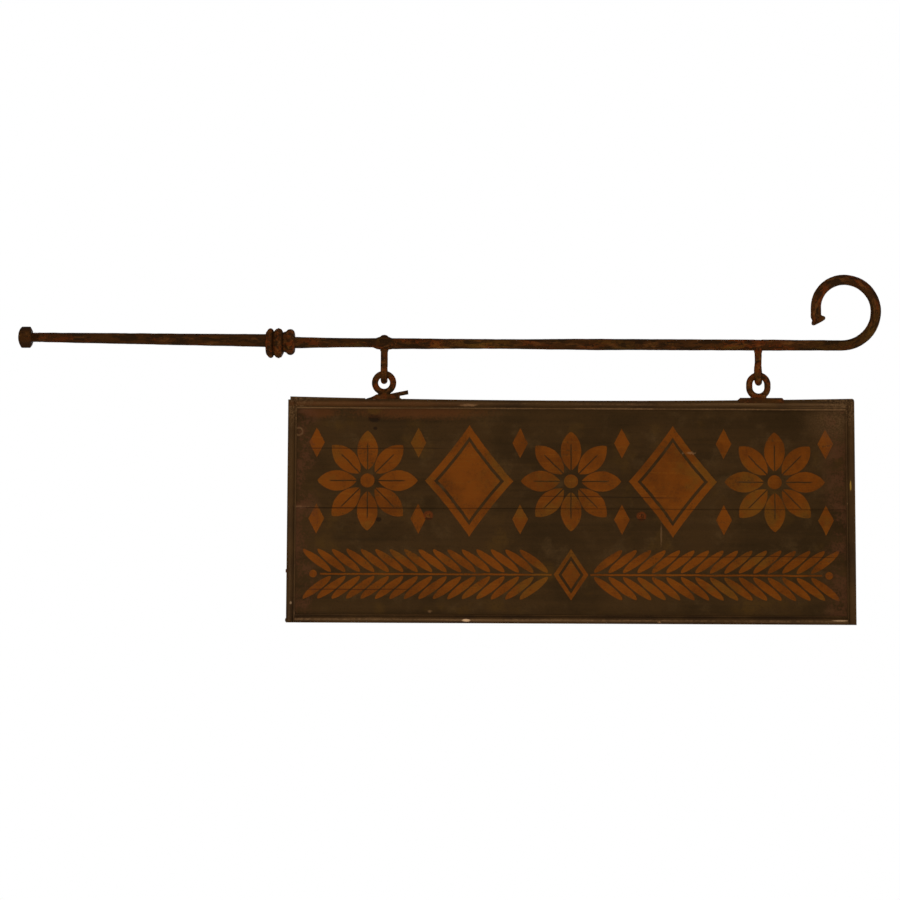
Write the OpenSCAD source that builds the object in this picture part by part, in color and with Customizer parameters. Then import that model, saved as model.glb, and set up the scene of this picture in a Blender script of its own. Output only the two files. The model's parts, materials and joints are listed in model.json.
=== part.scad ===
// Hanging shop sign: a round forged bracket arm that passes through a wall, and a framed double-sided
// board that swings under it on two rings.
// The origin is the centre of the collar face that bears on the wall. +X runs along the arm, away from
// the wall, +Z is up, and the front of the sign faces -Y. All sizes are in millimetres.

/* [Arm] */
// Diameter of the arm from the left hanger outwards
arm_d = 20.7; // [18:0.1:23]
// Diameter of the arm where it leaves the collars
arm_root_d = 21.5; // [18:0.5:24]
// Diameter of the drawn-down neck before the left hanger
arm_neck_d = 17.5; // [14:0.5:20]
// Height of the neck's axis above the axis of the rest of the arm
neck_lift = 1.3; // [0:0.1:1.5]
// Length of the taper from the collars to the neck
arm_root_len = 95; // [50:5:120]
// Length of the arm from the right hanger to the start of the scroll
arm_end_len = 158.4; // [125:0.1:245]
// Largest diameter of the swelling that the left hanger passes through
boss_d = 28; // [25:0.5:34]
// Length of the swelling on the neck's side of the hanger
boss_neck_len = 23; // [16:1:30]
// Length of the swelling on the other side of the hanger
boss_arm_len = 14; // [12:1:30]
// Height of the swelling's filed top above the arm's axis
boss_top = 12.8; // [11.5:0.1:13.5]
// Diameter of the arm where the hammer has thinned it
waist_d = 18.2; // [16:0.1:20.5]
// Distance from the left hanger to that thin place
waist_x = 227; // [160:1:260]
// Diameter of the thick place beyond it
belly_d = 21.7; // [20.5:0.1:23]
// Distance from the left hanger to the thick place
belly_x = 410; // [360:1:440]
// Distance from the left hanger to where the arm is even again
even_x = 520; // [480:1:580]

/* [Scroll] */
// Diameter of the bar in the scroll
scroll_d = 19.4; // [15:0.1:22]
// Length of the taper from the arm to the scroll
scroll_taper_len = 120; // [40:5:140]
// Centre-line radius of the first quarter of the scroll
scroll_r1 = 66; // [62:0.5:75]
// Centre-line radius of the second quarter
scroll_r2 = 60; // [56:0.5:62]
// Centre-line radius of the third quarter
scroll_r3 = 54; // [50:0.5:56]
// Straight length after the third quarter
tip_straight_len = 16.5; // [6:0.5:24]
// Diameter of the flared end
tip_flare_d = 28.6; // [24:0.1:32]
// Length of the flare
tip_flare_len = 13.5; // [10:0.5:18]
// Rounding of the flare's rim
tip_rim_r = 4; // [2:0.5:5]
// Lean of the flare from the vertical, in degrees
tip_lean = 28; // [10:1:40]

/* [Tail] */
// Distance between the wall face and the nut, which is the thickness of wall it holds
wall_grip = 445.5; // [300:0.5:500]
// Diameter of the tail at the wall face
tail_root_d = 24.6; // [21:0.1:24.8]
// Diameter of the tail before its thread
tail_end_d = 18; // [15:0.5:18.5]
// Diameter of the threaded end
thread_d = 19; // [19:0.1:22]
// Length of thread that shows beside the nut
thread_free_len = 13; // [8:1:30]
// Height of the tail above the arm's axis at the wall face
tail_lift = 4.8; // [3:0.1:5]
// Height of the threaded end above the arm's axis
tail_end_lift = 9.3; // [5:0.1:12]

/* [Nut] */
// Width of the nut across its flats
nut_flats = 35.5; // [31:0.1:42]
// Length of the nut
nut_len = 26; // [24:0.5:32]
// Length of the nut's threaded bore
nut_bore_len = 19; // [14:1:19]
// Radius of the nut's domed end
nut_dome_r = 36; // [30:1:90]
// Diameter of the nut's flat bearing face
nut_face_d = 27; // [25:0.5:34]
// Length of the bevel from that face to the nut's corners
nut_bevel = 3.6; // [2:0.1:6]

/* [Collars] */
// Diameter of the bar inside the collars
seat_d = 25; // [25:0.1:25.6]
// Length of the collar that bears on the wall
wall_collar_len = 14; // [12:0.5:18]
// Diameter of the collar that bears on the wall
wall_collar_d = 56.5; // [52:0.5:64]
// Diameter of the flat bearing face on the wall
wall_face_d = 42; // [40:0.5:45]
// Length of the middle collar
middle_collar_len = 19; // [17:0.5:24]
// Diameter of the middle collar
middle_collar_d = 57; // [52:0.5:64]
// Depth of the two grooves round the middle collar
groove_depth = 1.2; // [0.5:0.1:2]
// Length of the outer collar
bulb_len = 22; // [20:0.5:28]
// Largest diameter of the outer collar
bulb_d = 49.5; // [46:0.5:56]
// Diameter of the outer collar's neck
bulb_neck_d = 37; // [36:0.5:40]
// Height of that collar's axis above the arm's axis
bulb_lift = 2.2; // [1:0.1:2.6]

/* [Hangers] */
// Distance from the board's left end to the left hanger
left_inset = 180.6; // [170:0.1:220]
// Distance from the board's right end to the right hanger
right_inset = 179.1; // [170:0.1:250]
// Distance from the arm's axis down to the axis on which the board swings
pivot_drop = 58; // [56:0.5:70]
// Diameter of the hangers' shanks
shank_d = 13.8; // [13.5:0.1:14.5]
// Diameter of the bar in the hooks
hook_wire_d = 13; // [11:0.1:13]
// Diameter of the tenons riveted through the arm
tenon_d = 11; // [8:0.5:12]
// Diameter of the left hanger's shoulder
shoulder_d = 16; // [15:0.5:20]
// Height of the left hanger's shoulder
shoulder_h = 3.6; // [2:0.2:6]
// Diameter of the left hanger's riveted head
rivet_d = 17; // [14:0.5:20]
// Height of the left hanger's riveted head
rivet_h = 4; // [2.5:0.1:6]
// Diameter of the right hanger's flare where it meets the arm
flare_d = 18; // [15:0.5:20]
// Height of that flare below the arm
flare_h = 5; // [3:0.5:8]
// Turn of the right hook about its shank, in degrees
hook_turn = 14; // [0:1:14]
// Radius of the bend that leads from the right shank into its hook
swan_neck_r = 13; // [10:0.5:16]
// Height of the right hook's tip above the middle of its bowl
hook_tip_h = 21.5; // [16:0.5:24]
// Diameter of the right hook's tip
hook_tip_d = 9; // [7:0.5:11]
// Outward lean of the right hook's tip, in degrees
hook_tip_lean = 5; // [4:1:10]
// Extra radius inside the right hook's bowl
bowl_slack = 3.4; // [3:0.1:3.8]

/* [Rings] */
// Diameter of the bar in both rings
ring_wire_d = 12.2; // [10:0.1:13]
// Inner radius of both rings at the top
ring_inner_r = 11.1; // [11.1:0.1:13]
// Length of the right ring's straight sides
link_side_len = 6; // [4:0.5:6.5]
// Diameter of both rings' shanks in the board
eye_shank_d = 10; // [7:0.5:11]
// Length of both rings' shanks in the board
eye_shank_len = 55; // [30:1:80]
// Length of the left ring's foot along the board
foot_len = 68; // [60:1:80]
// Width of the left ring's foot across the board
foot_w = 28; // [27:0.5:29]
// Thickness of the left ring's foot at its tips
foot_tip_t = 2; // [1.6:0.1:3]
// Height of the left ring's foot at its shoulder
foot_shoulder = 9; // [8:0.5:9.5]
// Height of the key's middle line above the seat, at the key's hidden end
key_start_h = 6.2; // [5.5:0.1:7]
// Diameter of the neck under the left ring
eye_neck_d = 21; // [18:0.5:24]
// Length of the slanting key beside the left ring
key_len = 43; // [36:1:52]
// Thickness of the slanting key at its driven end
key_t = 7.6; // [6:0.1:8]
// Slant of the key, in degrees
key_slant = 11; // [8:1:13]
// Length of the right ring's plate
plate_len = 85; // [80:1:110]
// Distance of the plate's middle beyond the ring's
plate_shift = 3; // [0:0.5:4]
// Thickness of the right ring's plate
plate_t = 10; // [7:0.5:11]
// Height by which the plate stands above the seat of the left ring
plate_rise = 5; // [3:0.5:6]
// Chamfer at the plate's ends
plate_chamfer = 3; // [1:0.5:5]
// Length of the right ring's own foot along the plate
ring_foot_len = 28; // [24:0.5:34]
// Width of that foot across the board
ring_foot_w = 22; // [16:0.5:30]
// Height of that foot on the plate
ring_foot_h = 6; // [4:0.5:7]

/* [Board] */
// Distance from the wall face to the board's near edge
board_x = 44; // [30:0.1:80]
// Length of the framed board
board_len = 1069.7; // [1040:0.1:1120]
// Height of the framed board at its corners
board_h = 426.3; // [380:0.1:480]
// Distance from the swing axis down to the board's top corners
board_drop = 44.9; // [43.5:0.1:45]
// Thickness of the two planks
plank_t = 18.5; // [16:0.5:20]
// Height of the upper plank's visible face
upper_plank_h = 187.5; // [150:0.5:240]
// Depth of the tongue between the planks
tongue_depth = 20; // [12:0.5:24]
// Thickness of that tongue
tongue_t = 6; // [5:0.5:8]
// Open seam between the planks' faces
seam_gap = 0.6; // [0:0.1:2]

/* [Frame] */
// Thickness of the frame at the crest of its moulding
frame_t = 34; // [32:0.5:40]
// Width of the frame's half-round member
round_w = 12.8; // [11:0.1:15]
// Rise of the half-round above its edges
round_rise = 3.5; // [2:0.1:4.5]
// Width of the quirk beside the half-round
quirk_w = 0.9; // [0.5:0.1:1.5]
// Radius of the small bead next to the planks
bead_r = 1.4; // [1:0.1:2]
// Depth of the groove that holds the planks
plank_groove = 7; // [5:0.5:8]
// Height of the top rail's crown over the stiles
crown_h = 6; // [4:0.5:9]
// Dip of the top rail's worn edge at its middle
top_dip = 5.8; // [0:0.1:7]
// Distance by which the crown stops short of the board's left end
crown_short = 4; // [0:0.5:8]
// Rounding of the crown's right end
crown_round = 5; // [2:0.5:5.5]

/* [Fasteners] */
// Diameter of the frame nails
nail_d = 3.2; // [2.5:0.1:4]
// Length of the frame nails under their heads
nail_len = 45; // [30:1:60]
// Diameter of the frame nails' heads
nail_head_d = 6.4; // [5:0.1:8]
// Thickness of the frame nails' heads
nail_head_t = 2.4; // [1.5:0.1:3]
// Height above the board's foot of the nail into the lower plank
plank_nail_h = 97; // [60:1:180]
// Width of the square heads that pin the tongue
pin_head_w = 9; // [7:0.5:12]
// Thickness of those square heads
pin_head_t = 1.2; // [0.8:0.1:2]
// Diameter of the pins through the tongue
pin_d = 3.6; // [3:0.1:5]
// Distance from the board's near edge to the first pin
pin_x = 266; // [200:1:330]
// Distance between the two pins
pin_spacing = 401.5; // [340:0.5:460]
// Distance of the pins below the seam
pin_drop = 14; // [8:0.5:16]
// Diameter of the plate screws' heads
screw_head_d = 8; // [7:0.1:8.4]
// Diameter of the plate screws
screw_d = 4.4; // [3.5:0.1:5]
// Distance of the screws from the ends of the foot and the plate
screw_inset = 10; // [8:0.5:11]
// Length of the short screw in the left ring's foot
short_screw_len = 11; // [8:0.5:11.5]
// Length of the long screws in the right ring's plate
long_screw_len = 34; // [26:1:45]

/* [Fits] */
// Running gap between a ring and its hook
ring_gap = 0.3; // [0.3:0.05:0.5]
// Radial gap between a bored piece and what passes through it
bore_gap = 0.1; // [0.05:0.05:0.15]

/* [Hidden] */
$fn = 96;

iron = [0.24, 0.14, 0.08];
rusty_iron = [0.33, 0.17, 0.09];
frame_paint = [0.26, 0.18, 0.10];
ground_paint = [0.21, 0.15, 0.09];

collars_len = wall_collar_len + middle_collar_len + bulb_len;
board_end_x = board_x + board_len;
hanger_x = board_x + left_inset;
right_x = board_end_x - right_inset;
plate_mid_x = right_x + plate_shift;
arm_len = right_x + arm_end_len;
boss_bottom = arm_d / 2 + 0.4;
key_start_x = foot_w / 8;
screw_side = key_t / 2 + screw_head_d / 2 + 0.3;
thread_start_x = -(wall_grip - thread_free_len);
pivot_z = -pivot_drop;

hook_wire_r = hook_wire_d / 2;
ring_wire_r = ring_wire_d / 2;
ring_r = ring_inner_r + ring_wire_r;
closed_eye_r = ring_wire_r + ring_gap + hook_wire_r;
bowl_r = closed_eye_r + bowl_slack;
bowl_lift = 0.9 * bowl_slack;

frame_w = round_w + quirk_w + 2 * bead_r;
edge_half_t = frame_t / 2 - round_rise;
inner_half_t = edge_half_t - 1.2;
top_z = pivot_z - board_drop;
stile_top_z = top_z - crown_h;
foot_z = top_z - board_h;
ring_seat_z = top_z - 4.4;
plate_top_z = ring_seat_z + plate_rise;
seam_z = stile_top_z - frame_w - upper_plank_h;
plank_play = 0.5;
plank_reach = frame_w - plank_groove + plank_play;

// Round bar from one point to another in the XZ plane
module bar(from, to, d1, d2) {
    run = to - from;
    translate([from[0], 0, from[1]])
        rotate([0, 90 - atan2(run[1], run[0]), 0])
            cylinder(h = norm(run), d1 = d1, d2 = d2);
}

// Part of a ring of round bar in the XY plane, from one angle to another
module bend(radius, wire_r, from, to) {
    rotate([0, 0, from])
        rotate_extrude(angle = to - from)
            translate([radius, 0])
                circle(r = wire_r, $fn = 48);
}

// Puts what is drawn in the XY plane upright along the board, seen from the front
module upright() {
    rotate([90, 0, 0])
        children();
}

// Puts what is drawn in the XY plane upright across the board, with X to the back
module crosswise() {
    rotate([90, 0, 90])
        children();
}

// Turns a profile of radius against length about the arm's axis, with its length along +X
module turned_on_arm() {
    rotate([0, 90, 0])
        rotate_extrude()
            children();
}

// The bar inside the collars: the tail's full diameter, then the arm's root
module seat_in_collars(gap) {
    bar([-1, tail_lift], [collars_len - bulb_len / 2, tail_lift], seat_d + 2 * gap, seat_d + 2 * gap);
    bar([0, neck_lift], [collars_len + 1, neck_lift], arm_root_d + 2 * gap, arm_root_d + 2 * gap);
}

module tail() {
    end = [thread_start_x - 3, tail_end_lift];
    bar([2, tail_lift], end, tail_root_d, tail_end_d);
    bar([thread_start_x, tail_end_lift], [-wall_grip - nut_bore_len + 1, tail_end_lift], thread_d, thread_d);
}

// Swelling round the left hanger's hole, filed flat above and below
module boss() {
    land = 6;
    inside_neck_d = arm_neck_d - 2 * neck_lift - 0.4;
    intersection() {
        union() {
            bar([hanger_x - boss_neck_len, 0], [hanger_x - land, 0], inside_neck_d, boss_d);
            bar([hanger_x - land, 0], [hanger_x + land, 0], boss_d, boss_d);
            bar([hanger_x + land, 0], [hanger_x + boss_arm_len, 0], boss_d, arm_d);
        }
        translate([hanger_x - 2 * boss_neck_len, -boss_d, -boss_bottom])
            cube([2 * (boss_neck_len + boss_arm_len), 2 * boss_d, boss_bottom + boss_top]);
    }
}

// Three quarters of a turn, each tighter than the last, then a straight and a flared end
module scroll() {
    second = [arm_len + scroll_r1 - scroll_r2, scroll_r1];
    third = second + [0, scroll_r2 - scroll_r3];
    knee = third - [scroll_r3, tip_straight_len];
    translate([arm_len, 0, scroll_r1])
        upright() bend(scroll_r1, scroll_d / 2, -90, 0);
    translate([second[0], 0, second[1]])
        upright() bend(scroll_r2, scroll_d / 2, 0, 90);
    translate([third[0], 0, third[1]])
        upright() bend(scroll_r3, scroll_d / 2, 90, 180);
    bar(third - [scroll_r3, 0], knee, scroll_d, scroll_d);
    translate([knee[0], 0, knee[1]])
        sphere(d = scroll_d);
    translate([knee[0], 0, knee[1]])
        rotate([0, 180 - tip_lean, 0])
            flared_end();
}

// Upset end of the scroll: a short neck that spreads to a rounded rim
module flared_end() {
    neck_r = scroll_d / 2 - 0.5;
    rim = [tip_flare_d / 2 - tip_rim_r, tip_flare_len - tip_rim_r];
    rotate_extrude() {
        polygon([
            [0, 0],
            [neck_r, 0],
            [neck_r, tip_flare_len / 5],
            rim + tip_rim_r * [cos(30), -sin(30)],
            rim,
            [rim[0], tip_flare_len],
            [0, tip_flare_len],
        ]);
        translate(rim)
            circle(r = tip_rim_r);
    }
}

// Vertical hole or tenon through the arm at a hanger
module through_arm(x, d) {
    translate([x, 0, -arm_d])
        cylinder(h = 2 * arm_d, d = d);
}

module arm_bar() {
    root_end = collars_len + arm_root_len;
    color(iron)
        difference() {
            union() {
                tail();
                seat_in_collars(0);
                bar([collars_len, neck_lift], [root_end, neck_lift], arm_root_d, arm_neck_d);
                bar([root_end, neck_lift], [hanger_x, neck_lift], arm_neck_d, arm_neck_d);
                boss();
                bar([hanger_x, 0], [hanger_x + waist_x, 0], arm_d, waist_d);
                bar([hanger_x + waist_x, 0], [hanger_x + belly_x, 0], waist_d, belly_d);
                bar([hanger_x + belly_x, 0], [hanger_x + even_x, 0], belly_d, arm_d);
                bar([hanger_x + even_x, 0], [arm_len - scroll_taper_len, 0], arm_d, arm_d);
                bar([arm_len - scroll_taper_len, 0], [arm_len, 0], arm_d, scroll_d);
                scroll();
            }
            through_arm(hanger_x, tenon_d + 2 * bore_gap);
            through_arm(right_x, tenon_d + 2 * bore_gap);
        }
}

// Six-sided cap nut with its flat face to the wall and a domed outer end
module tail_nut() {
    corner_r = nut_flats / 2 / cos(30);
    far_r = nut_face_d / 2 + (corner_r - nut_face_d / 2) * nut_len / nut_bevel;
    color(rusty_iron)
        translate([-wall_grip, 0, tail_end_lift])
            rotate([0, -90, 0])
                difference() {
                    intersection() {
                        cylinder(r = corner_r, h = nut_len, $fn = 6);
                        translate([0, 0, nut_len - nut_dome_r])
                            sphere(r = nut_dome_r, $fn = 160);
                        cylinder(r1 = nut_face_d / 2, r2 = far_r, h = nut_len);
                    }
                    translate([0, 0, -1])
                        cylinder(d = thread_d + 2 * bore_gap, h = nut_bore_len + 1);
                }
}

// Half section of a collar: straight sides that lean in to a rounded rim
module rim_section(len, low_r, high_r, left_r, right_r, rim_r, rim_x) {
    lean = 30;
    centre = [high_r - rim_r, rim_x];
    polygon([
        [low_r, 0],
        [left_r, 0],
        centre + rim_r * [sin(lean), -cos(lean)],
        centre + rim_r * [sin(lean), cos(lean)],
        [right_r, len],
        [low_r, len],
    ]);
    translate(centre)
        circle(r = rim_r);
}

module wall_collar() {
    rim_r = 5.5;
    color(iron)
        difference() {
            turned_on_arm()
                rim_section(wall_collar_len, 2, wall_collar_d / 2, wall_face_d / 2, wall_face_d / 2 + 1, rim_r,
                    wall_collar_len - rim_r - 0.1);
            seat_in_collars(bore_gap);
        }
}

module middle_collar() {
    rim_r = 7.5;
    groove_w = 2;
    color(iron)
        translate([wall_collar_len, 0, 0])
            difference() {
                turned_on_arm()
                    rim_section(middle_collar_len, 2, middle_collar_d / 2, wall_face_d / 2 + 1,
                        bulb_neck_d / 2 + 0.5, rim_r, middle_collar_len / 2);
                for (side = [-1, 1])
                    translate([middle_collar_len / 2 + side * 3 - groove_w / 2, 0, 0])
                        rotate([0, 90, 0])
                            difference() {
                                cylinder(d = middle_collar_d + 4, h = groove_w);
                                cylinder(d = middle_collar_d - 2 * groove_depth - 1, h = groove_w);
                            }
                translate([-wall_collar_len, 0, 0])
                    seat_in_collars(bore_gap);
            }
}

module bulb_collar() {
    rim_r = 8.6;
    start = wall_collar_len + middle_collar_len;
    color(rusty_iron)
        translate([start, 0, bulb_lift])
            difference() {
                turned_on_arm()
                    rim_section(bulb_len, 2, bulb_d / 2, bulb_neck_d / 2, arm_root_d / 2 + 2, rim_r,
                        0.58 * bulb_len);
                translate([-start, 0, -bulb_lift])
                    seat_in_collars(bore_gap);
            }
}

// Closed eye on a shank, riveted through the arm's swelling
module left_hook() {
    eye_top_z = pivot_z + closed_eye_r;
    shank_top_z = -boss_bottom - shoulder_h;
    dome_r = (rivet_d * rivet_d / 4 + rivet_h * rivet_h) / (2 * rivet_h);
    color(rusty_iron)
        translate([hanger_x, 0, 0]) {
            translate([0, 0, pivot_z])
                crosswise() bend(closed_eye_r, hook_wire_r, 0, 360);
            translate([0, 0, eye_top_z])
                cylinder(d = shank_d, h = shank_top_z - eye_top_z);
            translate([0, 0, shank_top_z])
                cylinder(d = shoulder_d, h = shoulder_h);
            translate([0, 0, -boss_bottom])
                cylinder(d = tenon_d, h = boss_bottom + boss_top);
            intersection() {
                translate([0, 0, boss_top + rivet_h - dome_r])
                    sphere(r = dome_r);
                translate([-rivet_d, -rivet_d, boss_top])
                    cube([2 * rivet_d, 2 * rivet_d, 2 * rivet_h]);
            }
        }
}

// Open hook whose tip is closed in behind its shank, riveted flush through the arm.
// Each length of bar starts a little inside the one before it, which is slightly thicker.
module right_hook() {
    rise = round(100 * sqrt(2 * bowl_r * swan_neck_r + bowl_r * bowl_r)) / 100;
    meet = atan2(rise, swan_neck_r);
    lap = 2;
    step = 0.1;
    tip_start = bowl_r * [cos(hook_tip_lean), -sin(hook_tip_lean)];
    tip_run = hook_tip_h + bowl_r * sin(hook_tip_lean) - hook_tip_d / 2;
    bowl_z = pivot_z + bowl_lift;
    shank_z = bowl_z + rise;
    flare_z = -arm_d / 2 - flare_h;
    neck_wire_r = hook_wire_r + step;
    color(rusty_iron)
        translate([right_x, 0, 0])
            rotate([0, 0, -hook_turn]) {
                translate([0, 0, bowl_z]) {
                    crosswise() {
                        bend(bowl_r, hook_wire_r, 180 - meet - lap, 360 - hook_tip_lean);
                        translate([-swan_neck_r, rise])
                            bend(swan_neck_r, neck_wire_r, -meet, lap);
                    }
                    rotate([0, 0, 90])
                        tip_of_hook(tip_start, tip_run);
                }
                translate([0, 0, shank_z])
                    cylinder(d1 = 2 * (neck_wire_r + step), d2 = shank_d, h = flare_z - shank_z);
                difference() {
                    translate([0, 0, flare_z])
                        cylinder(d1 = shank_d, d2 = flare_d + 2, h = flare_h + arm_d / 4);
                    rotate([0, 0, hook_turn])
                        bar([-flare_d, 0], [flare_d, 0], arm_d, arm_d);
                }
                intersection() {
                    translate([0, 0, flare_z + 1])
                        cylinder(d = tenon_d, h = 2 * arm_d);
                    rotate([0, 0, hook_turn])
                        bar([-flare_d, 0], [flare_d, 0], arm_d, arm_d);
                }
                translate([0, 0, flare_z + 1])
                    cylinder(d = tenon_d, h = arm_d / 2);
            }
}

// Drawn-down end of the right hook, from just inside the end of its bowl
module tip_of_hook(start, run) {
    up = [tan(hook_tip_lean), 1];
    end = start + run * up;
    bar(start - 0.5 * up, end, hook_wire_d - 0.2, hook_tip_d);
    translate([end[0], 0, end[1]])
        sphere(d = hook_tip_d + 0.4);
}

// Shank of a ring, down into the board
module eye_shank(x, from_z, gap) {
    end_z = ring_seat_z - eye_shank_len - gap;
    translate([x, 0, end_z])
        cylinder(d = eye_shank_d + 2 * gap, h = from_z - end_z);
}

// Slanting key: its middle line starts inside the left ring's neck and rises to the right
module key_blank(gap) {
    start_t = key_t - 0.8;
    translate([hanger_x + key_start_x, 0, ring_seat_z + key_start_h])
        rotate([0, -key_slant, 0])
            rotate([90, 0, 0])
                linear_extrude(height = key_t + 2 * gap, center = true)
                    polygon([
                        [-gap, -start_t / 2 - gap],
                        [key_len, -key_t / 2 - gap],
                        [key_len + 0.6, key_t / 2 + gap],
                        [-gap, start_t / 2 + gap],
                    ]);
}

// Profile of the left ring's foot: a thin tip at the left, and a ramp under the key at the right
module foot_profile() {
    half = foot_len / 2;
    neck_r = foot_w / 2;
    rise = foot_shoulder - foot_tip_t;
    polygon(concat(
        [[half, 0], [half, foot_tip_t], [half - 4, foot_tip_t + 1]],
        [[half - 4, foot_shoulder], [neck_r, foot_shoulder]],
        [for (k = [0:6]) let (t = k / 6)
            [-neck_r - t * (half - neck_r), foot_tip_t + rise * pow(1 - t, 2)]],
        [[-half, 0]]
    ));
}

// Foot of the left ring: rounded ends, and its shoulder sloped off where the key lies over it
module left_foot() {
    end_x = (foot_len - foot_w) / 2;
    difference() {
        intersection() {
            rotate([90, 0, 0])
                linear_extrude(height = foot_w, center = true)
                    foot_profile();
            union() {
                for (side = [-1, 1])
                    translate([side * end_x, 0, -1])
                        cylinder(d = foot_w, h = 2 * foot_shoulder);
                translate([-end_x, -foot_w / 2, -1])
                    cube([2 * end_x, foot_w, 2 * foot_shoulder]);
            }
        }
        translate([key_start_x, 0, key_start_h])
            rotate([0, -key_slant, 0])
                translate([foot_w / 2 - key_start_x, -foot_w, 0])
                    cube([foot_len, 2 * foot_w, foot_len]);
    }
}

// Round eye on a foot that is screwed to the top rail, with its shank down into the board
module left_ring() {
    neck_z = foot_shoulder - 1;
    neck_h = 0.45 * ring_wire_d;
    color(rusty_iron)
        difference() {
            union() {
                translate([hanger_x, 0, pivot_z - ring_r])
                    upright() bend(ring_r, ring_wire_r, 0, 360);
                translate([hanger_x, 0, ring_seat_z])
                    left_foot();
                translate([hanger_x, 0, ring_seat_z + neck_z])
                    cylinder(d1 = foot_w - 1, d2 = eye_neck_d, h = neck_h);
                eye_shank(hanger_x, ring_seat_z + 1, 0);
            }
            key_blank(0);
            left_screws(bore_gap);
        }
}

module ring_key() {
    color(iron)
        key_blank(0);
}

// Long ring of two bends and two straight sides, cut flat on its foot
module right_ring() {
    color(rusty_iron)
        difference() {
            union() {
                translate([right_x, 0, pivot_z - ring_r])
                    upright() {
                        bend(ring_r, ring_wire_r, 0, 180);
                        translate([0, -link_side_len])
                            bend(ring_r, ring_wire_r, 180, 360);
                        for (side = [-1, 1])
                            translate([side * ring_r, 0])
                                rotate([90, 0, 0])
                                    cylinder(r = ring_wire_r, h = link_side_len);
                    }
                translate([right_x - ring_foot_len / 2, -ring_foot_w / 2, plate_top_z - 1])
                    cube([ring_foot_len, ring_foot_w, ring_foot_h + 1]);
                eye_shank(right_x, plate_top_z + 1, 0);
            }
            difference() {
                translate([right_x - ring_foot_len, -ring_foot_len, plate_top_z - ring_foot_len])
                    cube([2 * ring_foot_len, 2 * ring_foot_len, ring_foot_len]);
                translate([right_x, 0, plate_top_z - 2 * ring_foot_len])
                    cylinder(d = eye_shank_d, h = 3 * ring_foot_len);
            }
        }
}

// Housing in the top rail that holds the right ring's plate
module plate_blank() {
    translate([plate_mid_x - plate_len / 2, -frame_t / 2, plate_top_z - plate_t])
        cube([plate_len, frame_t, plate_t + 20]);
}

module ring_plate() {
    half = plate_len / 2;
    color(iron)
        difference() {
            translate([plate_mid_x, 0, plate_top_z])
                rotate([90, 0, 0])
                    linear_extrude(height = frame_t, center = true)
                        polygon([
                            [-half, -plate_t],
                            [-half, -plate_chamfer],
                            [-half + plate_chamfer, 0],
                            [half - plate_chamfer, 0],
                            [half, -plate_chamfer],
                            [half, -plate_t],
                        ]);
            eye_shank(right_x, plate_top_z + 1, bore_gap);
            right_screws(bore_gap);
        }
}

// Countersunk wood screw with its head at the origin, pointing down, and room over the head of its hole
module screw(len, gap) {
    head_h = (screw_head_d - screw_d) / 2;
    translate([0, 0, -head_h])
        cylinder(d1 = screw_d + 2 * gap, d2 = screw_head_d + 2 * gap, h = head_h);
    translate([0, 0, -len - gap])
        cylinder(d = screw_d + 2 * gap, h = len + gap);
    if (gap > 0)
        cylinder(d = screw_head_d + 2 * gap, h = foot_shoulder);
}

// One screw in the thin end of the left foot and a longer one through its shoulder, beside the key
module left_screws(gap) {
    reach = foot_len / 2 - screw_inset;
    low_head = foot_tip_t + 0.4;
    translate([hanger_x - reach, screw_side, ring_seat_z + low_head])
        screw(short_screw_len, gap);
    translate([hanger_x + reach, -screw_side, ring_seat_z + foot_shoulder])
        screw(short_screw_len + foot_shoulder - low_head, gap);
}

module right_screws(gap) {
    for (side = [-1, 1])
        translate([plate_mid_x + side * (plate_len / 2 - screw_inset), 0, plate_top_z])
            screw(long_screw_len, gap);
}

module plate_screws() {
    color(rusty_iron) {
        left_screws(0);
        right_screws(0);
    }
}

// Section of the frame, from its outer edge in: half-round, quirk and bead on both faces, and the groove
module frame_section() {
    half_chord = round_w / 2;
    round_r = (half_chord * half_chord + round_rise * round_rise) / (2 * round_rise);
    difference() {
        union() {
            translate([0, -edge_half_t])
                square([round_w, 2 * edge_half_t]);
            intersection() {
                for (side = [-1, 1])
                    translate([half_chord, side * (frame_t / 2 - round_r)])
                        circle(r = round_r);
                translate([0, -frame_t])
                    square([round_w, 2 * frame_t]);
            }
            translate([0, -inner_half_t])
                square([frame_w, 2 * inner_half_t]);
            for (side = [-1, 1])
                translate([frame_w - bead_r, side * inner_half_t])
                    circle(r = bead_r, $fn = 32);
        }
        translate([frame_w - plank_groove, -plank_t / 2])
            square([plank_groove + 1, plank_t]);
    }
}

// Rail between the stiles, drawn along +X with its outer edge up
module rail() {
    len = board_len - 2 * frame_w;
    tenon_len = plank_groove - plank_play;
    translate([board_x + frame_w, 0, 0])
        rotate([0, 90, 0])
            linear_extrude(height = len)
                frame_section();
    for (x = [board_x + frame_w - tenon_len, board_end_x - frame_w - 1])
        translate([x, -plank_t / 2, -(frame_w - plank_groove)])
            cube([tenon_len + 1, plank_t, frame_w - plank_groove]);
}

// Flat-sided crown over the top rail, set back a little from the moulding, up to its worn edge's long curve
module crown() {
    steps = 24;
    set_back = 0.4;
    left = board_x + crown_short;
    run = board_end_x - left;
    rotate([90, 0, 0])
        linear_extrude(height = 2 * (edge_half_t - set_back), center = true)
            polygon(concat(
                [[board_end_x, stile_top_z], [left, stile_top_z]],
                [for (k = [0:steps]) let (u = 2 * k / steps - 1, fall = top_dip * (1 - u * u))
                    [left + run * k / steps, top_z - fall]]
            ));
}

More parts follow.
